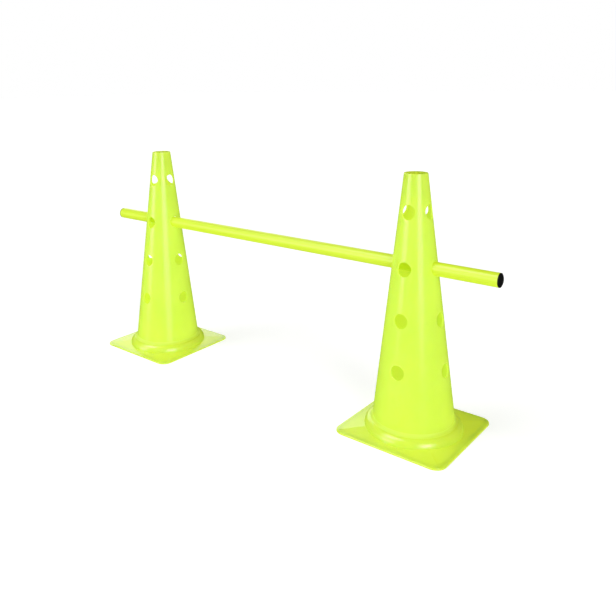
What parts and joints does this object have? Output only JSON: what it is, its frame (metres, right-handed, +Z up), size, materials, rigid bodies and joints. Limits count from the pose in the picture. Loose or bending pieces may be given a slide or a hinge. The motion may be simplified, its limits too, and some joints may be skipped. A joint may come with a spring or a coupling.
{
  "type": "speed hurdle",
  "caption": "Low training hurdle: hollow marker cones on square bases, with rows of round holes that carry a round pole between them.",
  "frame": {"origin": "on the floor, midway between the two cones, under the pole", "axes": "+X along the pole from the left cone to the right cone, +Y away from the picture's viewer, +Z up"},
  "size_m": [1, 0.215, 0.475],
  "materials": {
    "cone_plastic": "moulded fluorescent lime polyethylene, smooth satin gloss",
    "pole_plastic": "extruded fluorescent lime tube, smooth gloss",
    "plug_plastic": "moulded black polyethylene, satin"
  },
  "bodies": {
    "left_cone": {"left_cone": "cone_plastic"},
    "pole": {"pole_tube": "pole_plastic", "left_end_plug": "plug_plastic", "right_end_plug": "plug_plastic"},
    "right_cone": {"right_cone": "cone_plastic"}
  },
  "joints": [
    {"name": "pole_slide", "type": "slide", "parent": "left_cone", "child": "pole", "axis": [1, 0, 0], "range_m": [-0.055, 0.055]},
    {"name": "cone_span", "type": "slide", "parent": "left_cone", "child": "right_cone", "axis": [1, 0, 0], "range_m": [-0.46, 0.055]}
  ]
}
